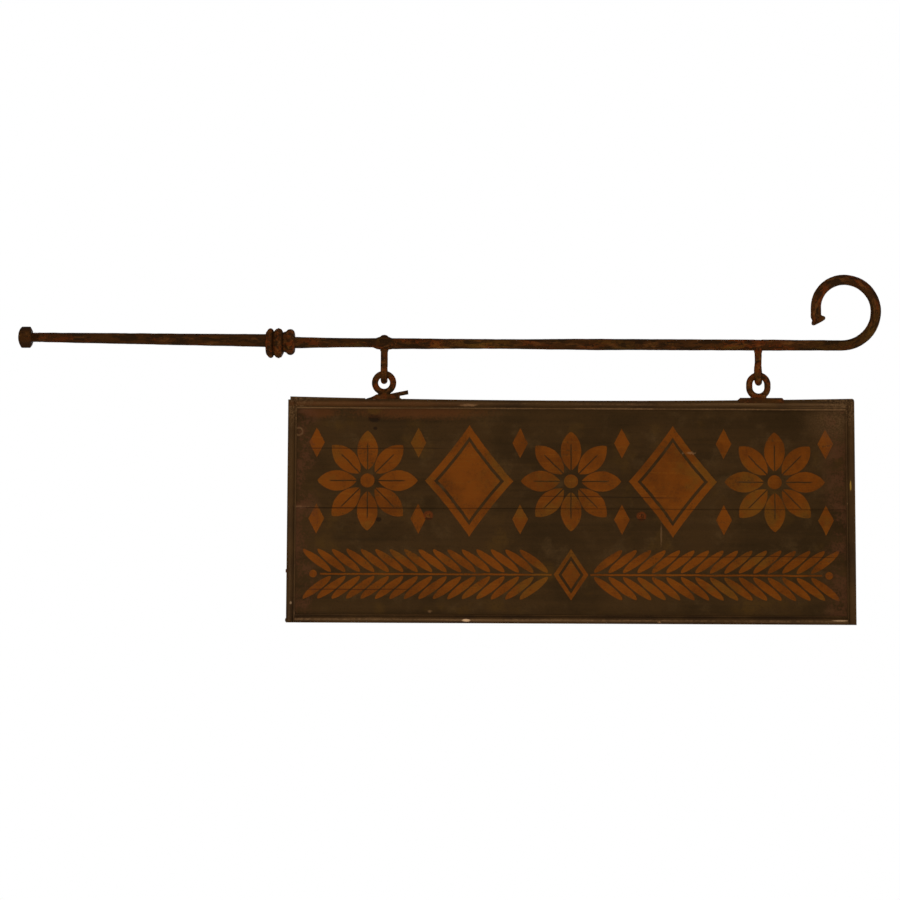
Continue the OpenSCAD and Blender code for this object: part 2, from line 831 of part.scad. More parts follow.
module top_rail() {
    color(frame_paint)
        difference() {
            union() {
                translate([0, 0, stile_top_z])
                    rail();
                crown();
            }
            difference() {
                translate([board_end_x - crown_round, -frame_t, top_z - crown_round])
                    cube([crown_round + 1, 2 * frame_t, crown_round + 1]);
                translate([board_end_x - crown_round, 0, top_z - crown_round])
                    rotate([90, 0, 0])
                        cylinder(r = crown_round, h = 2 * frame_t, center = true);
            }
            ring_seat();
            plate_blank();
            eye_shank(hanger_x, top_z, bore_gap);
            eye_shank(right_x, top_z, bore_gap);
            left_screws(bore_gap);
            right_screws(bore_gap);
            frame_nails(bore_gap);
        }
}

// Flat that the left ring's foot stands on
module ring_seat() {
    translate([hanger_x - foot_len / 2 - 1, -frame_t, ring_seat_z])
        cube([foot_len + 2, 2 * frame_t, 20]);
}

module bottom_rail() {
    color(frame_paint)
        difference() {
            translate([0, 0, foot_z])
                mirror([0, 0, 1])
                    rail();
            frame_nails(bore_gap);
        }
}

module stile() {
    linear_extrude(height = stile_top_z - foot_z)
        frame_section();
}

module left_stile() {
    color(frame_paint)
        difference() {
            translate([board_x, 0, foot_z])
                stile();
            frame_nails(bore_gap);
        }
}

module right_stile() {
    color(frame_paint)
        difference() {
            translate([board_end_x, 0, foot_z])
                mirror([1, 0, 0])
                    stile();
            frame_nails(bore_gap);
        }
}

// Outline of a plank between two heights, reaching into the stiles' grooves
module plank(from_z, to_z, thick) {
    translate([board_x + plank_reach, -thick / 2, from_z])
        cube([board_len - 2 * plank_reach, thick, to_z - from_z]);
}

module upper_plank() {
    color(ground_paint)
        difference() {
            union() {
                plank(seam_z, stile_top_z - plank_reach, plank_t);
                plank(seam_z - tongue_depth, seam_z + 1, tongue_t);
            }
            eye_shank(hanger_x, top_z, bore_gap);
            eye_shank(right_x, top_z, bore_gap);
            right_screws(bore_gap);
            pins(bore_gap);
        }
}

module lower_plank() {
    color(ground_paint)
        difference() {
            plank(foot_z + plank_reach, seam_z - seam_gap, plank_t);
            translate([0, 0, 0.01])
                plank(seam_z - tongue_depth - 0.5, seam_z, tongue_t);
            pins(bore_gap);
            frame_nails(bore_gap);
        }
}

// Round nail driven in the +X direction, with its head's underside on the edge or let in flush
module nail(proud, gap) {
    sink = proud ? 0 : nail_head_t;
    translate([sink - nail_head_t - (proud ? 0 : gap), 0, 0])
        rotate([0, 90, 0])
            cylinder(d = nail_head_d + (proud ? 0 : 2 * gap), h = nail_head_t + (proud ? 0 : gap));
    rotate([0, 90, 0])
        cylinder(d = nail_d + 2 * gap, h = nail_len + gap);
}

// Corner nails, and one into the lower plank: the two at the lower left stand proud
module frame_nails(gap) {
    rail_mid = (frame_w - plank_groove) / 2;
    low_z = foot_z + rail_mid;
    high_z = stile_top_z - rail_mid;
    for (z = [low_z, foot_z + plank_nail_h])
        translate([board_x, 0, z])
            nail(true, gap);
    translate([board_x, 0, high_z])
        nail(false, gap);
    for (z = [low_z, high_z])
        translate([board_end_x, 0, z])
            mirror([1, 0, 0])
                nail(false, gap);
}

module stile_nails() {
    color(rusty_iron)
        frame_nails(0);
}

// Square-headed pins through the lower plank and the tongue, let in flush at the front
module pins(gap) {
    for (x = [pin_x, pin_x + pin_spacing])
        translate([board_x + x, 0, seam_z - pin_drop]) {
            translate([-pin_head_w / 2 - gap, -plank_t / 2 - (gap > 0 ? 1 : 0), -pin_head_w / 2 - gap])
                cube([pin_head_w + 2 * gap, pin_head_t + (gap > 0 ? 1 : 0), pin_head_w + 2 * gap]);
            rotate([90, 0, 0])
                cylinder(d = pin_d + 2 * gap, h = plank_t - 0.001, center = true);
        }
}

module tongue_pins() {
    color(rusty_iron)
        pins(0);
}

arm_bar();
tail_nut();
wall_collar();
middle_collar();
bulb_collar();
left_hook();
right_hook();
left_ring();
ring_key();
right_ring();
ring_plate();
plate_screws();
upper_plank();
lower_plank();
top_rail();
bottom_rail();
left_stile();
right_stile();
stile_nails();
tongue_pins();
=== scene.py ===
"""A weathered hanging shop sign.

A forged arm with a scroll passes through the wall, and a framed painted board hangs under it on
two rings. Every length is in metres, in the part's own frame.
"""

import json
import math

import bpy
from mathutils import Matrix, Vector

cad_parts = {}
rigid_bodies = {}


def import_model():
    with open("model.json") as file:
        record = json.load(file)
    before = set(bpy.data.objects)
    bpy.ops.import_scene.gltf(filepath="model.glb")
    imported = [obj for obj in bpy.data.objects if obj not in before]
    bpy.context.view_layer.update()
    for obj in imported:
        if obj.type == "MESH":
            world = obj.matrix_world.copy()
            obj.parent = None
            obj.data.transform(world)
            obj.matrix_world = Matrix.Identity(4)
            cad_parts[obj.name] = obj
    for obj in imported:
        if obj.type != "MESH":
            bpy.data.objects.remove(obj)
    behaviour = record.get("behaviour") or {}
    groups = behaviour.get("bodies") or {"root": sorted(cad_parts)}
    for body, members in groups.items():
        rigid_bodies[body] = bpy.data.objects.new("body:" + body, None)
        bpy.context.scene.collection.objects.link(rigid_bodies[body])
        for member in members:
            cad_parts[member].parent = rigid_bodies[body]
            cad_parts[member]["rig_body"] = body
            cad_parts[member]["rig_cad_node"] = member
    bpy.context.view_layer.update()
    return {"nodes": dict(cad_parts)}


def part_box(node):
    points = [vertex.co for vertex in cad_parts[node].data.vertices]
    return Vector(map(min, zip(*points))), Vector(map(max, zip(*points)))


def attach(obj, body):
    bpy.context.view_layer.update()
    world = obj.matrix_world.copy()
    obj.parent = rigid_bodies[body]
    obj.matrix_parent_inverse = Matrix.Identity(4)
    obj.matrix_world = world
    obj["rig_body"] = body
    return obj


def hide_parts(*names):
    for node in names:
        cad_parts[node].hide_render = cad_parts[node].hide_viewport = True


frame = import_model()

nodes = frame["nodes"]
BRACKET, BOARD = "bracket", "hanging_board"

# Tail: wall between nut and collar, height of the nut's axis, thread that stays free before the nut
GRIP, NUT_Z, THREAD_FREE = 0.4455, 0.0093, 0.013
# Scroll: centre, which stands its radius above the arm, radius, and the direction opposite its gap
SCROLL_X, SCROLL_R, SCROLL_BACK = 1.0930, 0.066, math.radians(50)
# Frame: its width on the face, and how much of it is moulded, from the outer edge
FRAME_W, ROUND_W = 0.0165, 0.0128
LEFT_X, FOOT_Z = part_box("left_stile")[0].x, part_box("left_stile")[0].z
RIGHT_X, TOP_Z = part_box("right_stile")[1].x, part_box("right_stile")[1].z
MID_X = (LEFT_X + RIGHT_X) / 2
PLANK_FACE = -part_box("upper_plank")[0].y
SEAM_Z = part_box("lower_plank")[1].z


def seen(r, g, b):
    """A colour as it is seen, 0 to 255, in the linear values that a shader takes."""
    def linear(c):
        c /= 255
        return c / 12.92 if c <= 0.04045 else ((c + 0.055) / 1.055) ** 2.4
    return (linear(r), linear(g), linear(b), 1.0)


IRON, IRON_DARK = seen(60, 32, 8), seen(32, 18, 5)
RUST_RED, RUST_OLIVE = seen(84, 36, 7), seen(72, 48, 12)
RUST_PALE, RUST_WORN = seen(122, 74, 32), seen(104, 62, 26)
GROUND, GROUND_DARK, GROUND_PALE = seen(52, 34, 13), seen(37, 24, 7), seen(68, 48, 24)
OCHRE, OCHRE_DARK = seen(98, 48, 3), seen(74, 35, 2)
OCHRE_PALE, OCHRE_DULL = seen(114, 64, 14), seen(84, 54, 10)
FRAME, FRAME_DARK = seen(58, 38, 16), seen(34, 21, 9)
FRAME_WORN, FRAME_BARE = seen(96, 69, 42), seen(126, 91, 59)
MARGIN_RED, STAIN, GRIME = seen(78, 44, 26), seen(78, 42, 16), seen(25, 14, 4)
CHIP_WHITE, CHIP_YELLOW = seen(176, 140, 104), seen(150, 112, 40)
WHITE, FLOOR_PALE = (1.0, 1.0, 1.0, 1.0), (0.86, 0.86, 0.86, 1.0)


# Shader arithmetic

class Value:
    """One output of a tree's nodes. Arithmetic on it adds Math nodes."""

    def __init__(self, tree, socket):
        self.tree, self.socket = tree, socket

    def math(self, operation, *others, clamp=False):
        settings = {"operation": operation, "use_clamp": clamp}
        return self.tree.add("ShaderNodeMath", settings, dict(enumerate((self,) + others)))

    def __add__(self, other):
        return self.math("ADD", other)

    def __sub__(self, other):
        return self.math("SUBTRACT", other)

    def __mul__(self, other):
        return self.math("MULTIPLY", other)

    def __truediv__(self, other):
        return self.math("DIVIDE", other)

    def __pow__(self, other):
        return self.math("POWER", other)

    def __radd__(self, other):
        return self + other

    def __rsub__(self, other):
        return self.tree.add("ShaderNodeMath", {"operation": "SUBTRACT"}, {0: other, 1: self})

    def __abs__(self):
        return self.math("ABSOLUTE")

    def floor(self):
        return self.math("FLOOR")

    def low(self, other):
        return self.math("MINIMUM", other)

    def high(self, other):
        return self.math("MAXIMUM", other)

    def held(self):
        """Kept between 0 and 1."""
        return self.math("ADD", 0.0, clamp=True)

    def rise(self, start, end):
        """0 below start, 1 above end, with a soft step between. With start above end it falls."""
        if start > end:
            return 1.0 - self.rise(end, start)
        settings = {"interpolation_type": "SMOOTHSTEP", "clamp": True}
        inputs = {"Value": self, "From Min": start, "From Max": end}
        return self.tree.add("ShaderNodeMapRange", settings, inputs)


class Tree:
    """The nodes of a material or of the world: every node comes from add()."""

    def __init__(self, owner):
        owner.use_nodes = True
        self.nodes, self.links = owner.node_tree.nodes, owner.node_tree.links
        self.nodes.clear()

    def add(self, kind, settings, inputs, output=0):
        node = self.nodes.new(kind)
        for key, setting in settings.items():
            setattr(node, key, setting)
        for key, content in inputs.items():
            if isinstance(content, Value):
                self.links.new(content.socket, node.inputs[key])
            else:
                node.inputs[key].default_value = content
        return Value(self, node.outputs[output]) if node.outputs else None


class Paint(Tree):
    """A material under construction, laid out in Object coordinates."""

    def __init__(self, name, fine_scale=None):
        self.material = bpy.data.materials.new(name)
        super().__init__(self.material)
        self.place = self.add("ShaderNodeTexCoord", {}, {}, "Object")
        self.x, self.y, self.z = (
            self.add("ShaderNodeSeparateXYZ", {}, {0: self.place}, axis) for axis in "XYZ")
        self.fine = self.noise(fine_scale) if fine_scale else None

    def moved(self, shift=(0, 0, 0), scale=(1, 1, 1), place=None):
        """Coordinates scaled by axis and shifted."""
        inputs = {"Vector": place or self.place, "Location": shift, "Scale": scale}
        return self.add("ShaderNodeMapping", {}, inputs, "Vector")

    def along_bar(self, drawn):
        """Coordinates that run along the arm and round its scroll, with that length times drawn."""
        dx, dz = self.x - SCROLL_X, self.z - SCROLL_R
        cosine, sine = math.cos(SCROLL_BACK), math.sin(SCROLL_BACK)
        angle = (dz * cosine - dx * sine).math("ARCTAN2", dx * cosine + dz * sine)
        curled = (angle + (SCROLL_BACK + math.pi / 2)) * SCROLL_R + SCROLL_X
        left_part = self.z.rise(0.019, 0.0192) * dx.rise(-0.12, -0.1199)
        on_scroll = dx.rise(-0.0001, 0.0001).high(left_part)
        length = self.x + (curled - self.x) * on_scroll
        height = self.z + (SCROLL_R - (dx * dx + dz * dz) ** 0.5 - self.z) * on_scroll
        return self.add("ShaderNodeCombineXYZ", {}, {0: length * drawn, 1: self.y, 2: height})

    def noise(self, scale, detail=3.0, rough=0.6, warp=0.0, place=None):
        inputs = {"Vector": place or self.place, "Scale": scale, "Detail": detail,
                  "Roughness": rough, "Distortion": warp}
        return self.add("ShaderNodeTexNoise", {}, inputs, "Fac")

    def cells(self, scale):
        inputs = {"Vector": self.place, "Scale": scale}
        return self.add("ShaderNodeTexVoronoi", {}, inputs, "Distance")

    def streaks(self, along, scale):
        """Noise drawn out along the grain."""
        drawn = {"x": (1.6, 60.0, 60.0), "z": (60.0, 60.0, 1.6)}[along]
        return self.noise(scale, detail=4.0, rough=0.62, warp=0.25, place=self.moved(scale=drawn))

    def layered(self, colour, *layers):
        """Lays each layer's colour over what is there, by its share from 0 to 1."""
        for share, over in layers:
            inputs = {0: share, 6: colour, 7: over}
            colour = self.add("ShaderNodeMix", {"data_type": "RGBA"}, inputs, 2)
        return colour

    def spot(self, x, z, half_w, half_h, ragged, soft):
        """1 inside an uneven patch round (x, z) on the board's face."""
        away = (((self.x - x) / half_w) ** 2.0 + ((self.z - z) / half_h) ** 2.0) ** 0.5
        return (away + (self.fine - 0.5) * (2 * ragged)).rise(1.0 + soft, 1.0 - soft)

    def marked(self, colour, marks):
        layers = ((self.spot(*shape) * strength, over) for *shape, strength, over in marks)
        return self.layered(colour, *layers)

    def finish(self, colour, roughness, relief, depth, strength):
        bump = {"Height": relief, "Distance": depth, "Strength": strength}
        inputs = {"Base Color": colour, "Roughness": roughness, "Specular IOR Level": 0.03,
                  "Normal": self.add("ShaderNodeBump", {}, bump, "Normal")}
        self.show(self.add("ShaderNodeBsdfPrincipled", {}, inputs, "BSDF"))
        return self.material

    def show(self, surface):
        self.add("ShaderNodeOutputMaterial", {}, {"Surface": surface})


# Iron

def rusted_iron(name, red, pale=0.45, pit_depth=0.0007, dim=None, drawn=None):
    """Hammered iron under old rust: dark scale, red, olive and pale patches, fine pits.

    red and pale say how much of them shows, dim(paint) where the iron is darker, and drawn makes
    the patches long and lets them follow the bar.
    """
    p = Paint(name)
    run = p.along_bar(drawn) if drawn else p.place
    broad = p.noise(17.0, warp=0.4)
    patch = p.noise(62.0, detail=4.0, rough=0.62, place=p.moved((0.3, 0.7, 0.1), place=run))
    grit = p.noise(420.0, rough=0.7)
    pits = p.cells(150.0).rise(0.42, 0.12) * patch.rise(0.42, 0.62)
    olive = p.noise(34.0, detail=4.0, place=p.moved((2.1, 0.4, 1.7), place=run))
    dark = p.noise(90.0, detail=4.0, place=p.moved((0.6, 1.9, 0.8), place=run))
    light = p.noise(105.0, detail=4.0, rough=0.65, place=p.moved((1.2, 0.3, 2.9), place=run))
    reddish = patch + (grit - 0.5) * 0.5 + (broad - 0.5) * 0.4
    colour = p.layered(
        IRON,
        ((broad + (patch - 0.5) * 0.5).rise(0.38, 0.62) * 0.7, IRON_DARK),
        (reddish.rise(0.62 - red * 0.3, 0.8 - red * 0.3), RUST_RED),
        ((olive + (grit - 0.5) * 0.5).rise(0.53, 0.68) * 0.8, RUST_OLIVE),
        (dark.rise(0.49, 0.58) * 0.85, IRON_DARK),
        (light.rise(0.54, 0.66) * pale, RUST_WORN),
        (p.cells(260.0).rise(0.3, 0.12) * grit.rise(0.5, 0.66) * pale, RUST_PALE),
        (pits * 0.7, GRIME),
    )
    if dim:
        colour = p.layered(colour, (dim(p), IRON_DARK))
    rough = (0.58 + grit * 0.3 + (1.0 - broad) * 0.12 - pits * 0.05).held()
    relief = grit * 0.35 + p.noise(150.0) * 0.65 - pits * 0.8
    return p.finish(colour, rough, relief, pit_depth, 0.9)


def dark_arm(p):
    """Darker: tail and root, the nut's rim, the arm's middle, the scroll's foot, the ring plate."""
    root = p.x.rise(0.24, 0.12)
    middle = p.x.rise(0.40, 0.50) * p.x.rise(0.80, 0.68)
    foot = p.x.rise(0.99, 1.03) * p.z.rise(0.03, 0.01)
    rim = p.x.rise(-0.43, -0.44) * abs(p.z - NUT_Z).rise(0.006, 0.019)
    plate = p.z.rise(-0.09, -0.10)
    return root * 0.36 + middle * 0.33 + foot * 0.28 + rim * 0.4 + plate * 0.25 + 0.03


def painted_shade_collar_gaps(p):
    """Painted shade where one collar meets the next."""
    first, second = (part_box(collar)[1].x for collar in ("wall_collar", "middle_collar"))
    return abs(p.x - first).low(abs(p.x - second)).rise(0.004, 0.001) * 0.7


def dark_ring_foot(p):
    return p.z.rise(-0.083, -0.090) * 0.35


def dark_shank(p):
    return p.z.rise(-0.04, -0.02) * 0.2


# Painted wood

# Old marks: x, z, half the width and height, how ragged and how soft the edge is, strength, colour
FRAME_MARKS = (
    (0.2000, -0.1165, 0.1700, 0.0050, 0.90, 0.70, 0.45, STAIN),
    (0.3860, -0.1185, 0.0140, 0.0020, 1.20, 0.60, 0.50, FRAME_BARE),
    (0.3775, -0.1065, 0.0014, 0.0018, 0.50, 0.40, 0.60, CHIP_WHITE),
    (0.3820, -0.5236, 0.0070, 0.0024, 0.35, 0.30, 1.00, CHIP_WHITE),
    (1.1046, -0.2680, 0.0014, 0.0090, 0.35, 0.30, 0.70, CHIP_YELLOW),
    (0.0528, -0.4925, 0.0018, 0.0026, 0.35, 0.30, 0.35, CHIP_WHITE),
    (1.0825, FOOT_Z + 0.0078, 0.0140, 0.0012, 0.35, 0.30, 0.50, CHIP_WHITE),
)
PLANK_MARKS = (
    (0.2070, -0.1430, 0.0115, 0.0078, 0.20, 0.25, 0.85, GRIME),
    (0.2090, -0.1625, 0.0035, 0.0030, 0.35, 0.30, 0.80, GRIME),
    (0.2165, -0.3350, 0.0055, 0.0042, 0.35, 0.30, 0.80, GRIME),
    (0.0646, -0.3115, 0.0130, 0.0022, 1.50, 0.60, 0.45, FRAME_BARE),
    (0.3135, -0.5070, 0.0030, 0.0020, 1.50, 0.60, 0.45, FRAME_BARE),
    (0.8056, -0.2072, 0.0070, 0.0022, 1.50, 0.60, 0.45, FRAME_BARE),
    (0.7900, -0.2070, 0.0020, 0.0020, 1.50, 0.60, 0.45, FRAME_BARE),
    (0.7486, -0.3620, 0.0016, 0.0190, 0.90, 0.60, 0.22, FRAME_BARE),
    (0.1050, -0.1310, 0.0300, 0.0110, 0.60, 0.50, 0.60, STAIN),
    (0.2950, -0.1300, 0.1050, 0.0120, 0.90, 0.70, 0.65, STAIN),
    (0.2070, -0.1265, 0.0130, 0.0090, 0.40, 0.50, 0.55, RUST_OLIVE),
    # Rust that has run from the two pins
    (0.3100, -0.3266, 0.0088, 0.0080, 0.25, 0.20, 0.80, RUST_RED),
    (0.3100, -0.3330, 0.0070, 0.0020, 0.30, 0.30, 0.70, GRIME),
    (0.7115, -0.3266, 0.0088, 0.0080, 0.25, 0.20, 0.80, RUST_RED),
    (0.7115, -0.3330, 0.0070, 0.0020, 0.30, 0.30, 0.70, GRIME),
)
# Cracks in the planks: height, start and end along the board
CRACKS = ((-0.200, 0.06, 0.36), (-0.291, 0.50, 0.79), (-0.402, 0.74, 1.10), (-0.466, 0.07, 0.30))


def away_from(p, x, half_w, z, half_h):
    """Distance from (x, z), 1 on the ellipse with those half axes."""
    return (((p.x - x) / half_w) ** 2.0 + ((p.z - z) / half_h) ** 2.0) ** 0.5


def painted_frame(name, along, edge_distance, bead_wear_and_highlight, crest_wear_and_highlight, quirk_dirt_and_shade):
    """Dark brown paint on a moulding: bare on its bead and crest, with a painted highlight along
    them, dirt and painted shade in its quirk, chips.
    """
    p = Paint(name, fine_scale=210.0)
    run, run_fine = p.streaks(along, 1.0), p.streaks(along, 4.2)
    broad = p.noise(9.0, warp=0.5)
    spell = p.noise(7.0, place=p.moved((3.1, 0.2, 1.4))).rise(0.36, 0.60)
    grain = p.noise(420.0)
    worn = (run * 0.55 + p.fine * 0.45).rise(0.43, 0.57)
    rubbed = (run_fine * 0.4 + p.fine * 0.3 + broad * 0.3).rise(0.52, 0.62)
    chips = p.noise(26.0, detail=4.0, rough=0.65, place=p.moved((0.9, 0.2, 0.5)))
    chips = (chips + (p.fine - 0.5) * 0.3).rise(0.7, 0.735)

    # The moulding's lines, by their distance in from the outer edge
    inward = edge_distance(p)
    arris = inward.rise(0.0016, 0.0002)
    crest = inward.rise(0.003, 0.0062) * inward.rise(0.0098, 0.0066)
    quirk = inward.rise(ROUND_W - 0.0028, ROUND_W) * inward.rise(ROUND_W + 0.0012, ROUND_W + 0.0004)
    bead = inward.rise(ROUND_W + 0.0004, ROUND_W + 0.0016)
    bead = bead * inward.rise(FRAME_W + 0.001, FRAME_W - 0.0004)
    edges = (bead * bead_wear_and_highlight * 0.9 + arris * 0.6 + crest * crest_wear_and_highlight * 0.4).held()
    corner = away_from(p, RIGHT_X, 0.085, TOP_Z, 0.06).low(away_from(p, LEFT_X, 0.07, TOP_Z, 0.06))

    colour = p.layered(
        FRAME,
        (broad.rise(0.35, 0.68) * 0.7, FRAME_DARK),
        ((run * 0.6 + run_fine * 0.4).rise(0.52, 0.7) * 0.55, FRAME_WORN),
        # Worn, bare paint on the bead and crest, with a painted highlight along them
        (bead * (0.3 + worn * 0.3 + spell * 0.4) * bead_wear_and_highlight, FRAME_WORN),
        (crest * (0.2 + worn * 0.5 + spell * 0.3) * crest_wear_and_highlight, FRAME_WORN),
        (edges * rubbed * (0.35 + spell * 0.65), FRAME_BARE),
        # Dirt and painted shade in the quirk
        (quirk * quirk_dirt_and_shade, GRIME),
        (corner.rise(1.1, 0.3) * (grain * 0.5 + p.fine * 0.5).rise(0.46, 0.58) * 0.6, FRAME_WORN),
        (chips * 0.8, FRAME_BARE),
    )
    rough = (0.56 + run_fine * 0.22 + chips * 0.15).held()
    relief = run * 0.5 + run_fine * 0.35 + p.fine * 0.12 - chips * 0.35
    return p.finish(p.marked(colour, FRAME_MARKS), rough, relief, 0.0007, 0.8)


def hump(t, power):
    """1 half-way along t, 0 at its two ends and beyond them."""
    return (t * (1.0 - t) * 4.0).high(0.0) ** power


def upper_band(p, u, shake):
    """Five figures in equal places, rosettes and lozenges in turn, with pellets between them."""
    pitch, middle_z, sector = 0.192, -0.2615, math.pi / 4
    v = p.z - middle_z + shake
    place = (u / pitch + 0.5).floor()
    du = u - place * pitch + shake
    is_lozenge = place.math("PINGPONG", 1.0).rise(0.45, 0.55)
    reach, turn = (du * du + v * v) ** 0.5, v.math("ARCTAN2", du)
    leaf = turn - (turn / sector + 0.5).floor() * sector
    out, side = reach * leaf.math("COSINE"), abs(reach * leaf.math("SINE"))

    petal_start, petal_len, petal_half_w, eye_r = 0.020, 0.0745, 0.0198, 0.0135
    t = (out - petal_start) / petal_len
    petal = hump(t, 0.8) * petal_half_w - side
    vein = side.rise(0.0008, 0.0015).high(t.rise(0.62, 0.72))
    rosette = (petal.rise(-0.0002, 0.0010) * vein).high(reach.rise(eye_r, eye_r - 0.0007)).low(1.0)

    lozenge_half_w, lozenge_half_h = 0.0840, 0.1060
    spread = (abs(du) / lozenge_half_w) ** 0.95 + (abs(v) / lozenge_half_h) ** 0.95
    lozenge = spread.rise(1.0, 0.99) * (spread.rise(0.795, 0.805) + spread.rise(0.72, 0.71)).held()

    pellet_half_w, pellet_half_h, pellet_up = 0.0150, 0.0290, 0.072
    pellets = abs(abs(du) - pitch / 2) / pellet_half_w + abs(abs(v) - pellet_up) / pellet_half_h
    pellets = pellets.rise(1.0, 0.96) * abs(u).rise(0.500, 0.499)
    figures = rosette * (1.0 - is_lozenge) + lozenge * is_lozenge
    return (figures * abs(u).rise(0.4795, 0.4790)).high(pellets)


def lower_band(p, across, shake):
    """Laurel leaves on both sides of a stem, running out from a lozenge in the middle."""
    middle_z, leaf_start, leaf_len, leaf_step, leaf_half_w = -0.4375, 0.0035, 0.0435, 0.0272, 0.0119
    w = p.z - middle_z + shake
    up = abs(w)
    slant = across - up * 1.15
    local = abs(slant / leaf_step - (slant / leaf_step).floor() - 0.5) * leaf_step
    leaf = hump((up - leaf_start) / leaf_len, 0.6) * leaf_half_w - local
    leaves = leaf.rise(-0.0002, 0.0011) * slant.rise(0.0270, 0.0272) * slant.rise(0.4628, 0.4624)
    stem = up.rise(0.0019, 0.0013) * across.rise(0.036, 0.037) * across.rise(0.4725, 0.4715)
    spread = across / 0.0330 + up / 0.0490
    lozenge = spread.rise(1.0, 0.97) * (spread.rise(0.70, 0.73) + spread.rise(0.55, 0.52)).held()
    end_pellet = (((across - 0.4850) ** 2.0 + w ** 2.0) ** 0.5).rise(0.0075, 0.0068)
    return leaves.high(stem).high(lozenge).high(end_pellet)


def ornament(p):
    """1 where the ochre is, alike on both faces of the board."""
    u = p.x - MID_X
    shake = (p.noise(38.0, rough=0.5) - 0.5) * 0.0022 + (p.fine - 0.5) * 0.0014
    return upper_band(p, u, shake).high(lower_band(p, abs(u), shake)).held()


def painted_plank(name):
    """Very dark brown sign paint, weathered, with the ornament in ochre on both faces."""
    p = Paint(name, fine_scale=230.0)
    run, run_fine = p.streaks("x", 1.0), p.streaks("x", 5.0)
    broad = p.noise(6.5, detail=4.0, warp=0.6)
    cloud = p.noise(24.0, detail=4.0, rough=0.62)
    ochre = ornament(p) * abs(p.y).rise(PLANK_FACE - 0.0006, PLANK_FACE - 0.0001)
    worn = (run_fine * 0.40 + p.fine * 0.35 + cloud * 0.25).rise(0.575, 0.66)

    mossy = p.noise(13.0, place=p.moved((1.3, 0, 0.4)))
    ground = p.layered(
        GROUND,
        ((broad * 0.6 + run * 0.4).rise(0.40, 0.64) * 0.8, GROUND_DARK),
        ((cloud * 0.6 + run_fine * 0.2 + p.fine * 0.2).rise(0.50, 0.66) * 0.7, GROUND_PALE),
        (mossy.rise(0.54, 0.72) * 0.35, RUST_OLIVE),
    )
    dull = p.noise(11.0, detail=4.0, rough=0.65, place=p.moved((0.2, 0.9, 2.4)))
    paint = p.layered(
        OCHRE,
        ((broad * 0.5 + cloud * 0.5).rise(0.40, 0.62) * 0.7, OCHRE_DARK),
        (dull.rise(0.50, 0.66) * 0.6, OCHRE_DULL),
        ((run_fine * 0.6 + p.fine * 0.4).rise(0.50, 0.66) * 0.5, OCHRE_PALE),
    )

    # Dirt in the seam and cracks, and the ring that an old fitting has left
    soot = (p.fine * 0.5 + run_fine * 0.25 + cloud * 0.25).rise(0.50, 0.62)
    seam = abs(p.z - SEAM_Z).rise(0.0022, 0.0006) * (run * 0.25 + p.x.rise(0.33, 0.25) * 0.35)
    painted = ochre * (0.96 - worn * 0.75)
    colour = p.layered(ground, (painted, paint), (soot * 0.35, GRIME), (seam, GRIME))
    wander = (p.noise(3.0, rough=0.5, place=p.moved(scale=(1, 0, 0))) - 0.5) * 0.012
    for height, start, end in CRACKS:
        line = abs(p.z - height - wander).rise(0.0011, 0.0003)
        reach = p.x.rise(start, start + 0.03) * p.x.rise(end, end - 0.05)
        colour = p.layered(colour, (line * reach * 0.75, GRIME))
    ring_x, ring_z, ring_r = 0.0646, -0.169, 0.007
    ring = away_from(p, ring_x, 1.0, ring_z, 1.0) - ring_r + (p.fine - 0.5) * 0.003
    colour = p.layered(colour, (abs(ring).rise(0.0022, 0.0008) * 0.7, FRAME_WORN))
    colour = p.marked(colour, PLANK_MARKS)

    # A rubbed corner, dirt along the frame, and reddish margins at the two sides
    grain = (p.noise(420.0) * 0.5 + p.fine * 0.5).rise(0.44, 0.60)
    rubbed = p.spot(1.085, -0.143, 0.046, 0.034, 0.9, 0.9) * (0.25 + grain * 0.75)
    from_side = (p.x - (LEFT_X + FRAME_W)).low((RIGHT_X - FRAME_W) - p.x)
    from_rail = (p.z - (FOOT_Z + FRAME_W)).low((TOP_Z - FRAME_W) - p.z)
    reddened = (cloud * 0.6 + p.fine * 0.4).rise(0.44, 0.58)
    colour = p.layered(
        colour,
        (rubbed * 0.55, FRAME_WORN),
        (from_side.low(from_rail).rise(0.012, 0.0) * cloud * 0.25, GRIME),
        (from_side.rise(0.055, 0.012) * reddened * 0.5, MARGIN_RED),
    )
    rough = (0.60 + run_fine * 0.2 - ochre * 0.06 + worn * 0.1).held()
    relief = run * 0.35 + run_fine * 0.4 + p.fine * 0.1 + ochre * 0.5 * (1.0 - worn)
    return p.finish(colour, rough, relief, 0.0006, 0.75)


def coat(obj, material):
    """Puts one material on the whole piece."""
    if not obj.material_slots:
        obj.data.materials.append(material)
    for slot in obj.material_slots:
        slot.material = material


arm_iron = rusted_iron("arm_iron", red=0.45, dim=dark_arm, drawn=0.3)
# The collars' iron carries painted shade in the gaps between them
brown_iron = rusted_iron("brown_iron", red=0.6, pale=0.5, dim=painted_shade_collar_gaps)
foot_iron = rusted_iron("foot_iron", red=0.6, pale=0.5, dim=dark_ring_foot)
red_iron = rusted_iron("red_iron", red=0.85, pale=0.7, dim=dark_shank)
fastener_iron = rusted_iron("fastener_iron", red=0.7, pit_depth=0.0003)
plank_paint = painted_plank("plank_paint")

for node in ("upper_plank", "lower_plank"):
    coat(nodes[node], plank_paint)
for node in ("plate_screws", "stile_nails", "tongue_pins"):
    coat(nodes[node], fastener_iron)
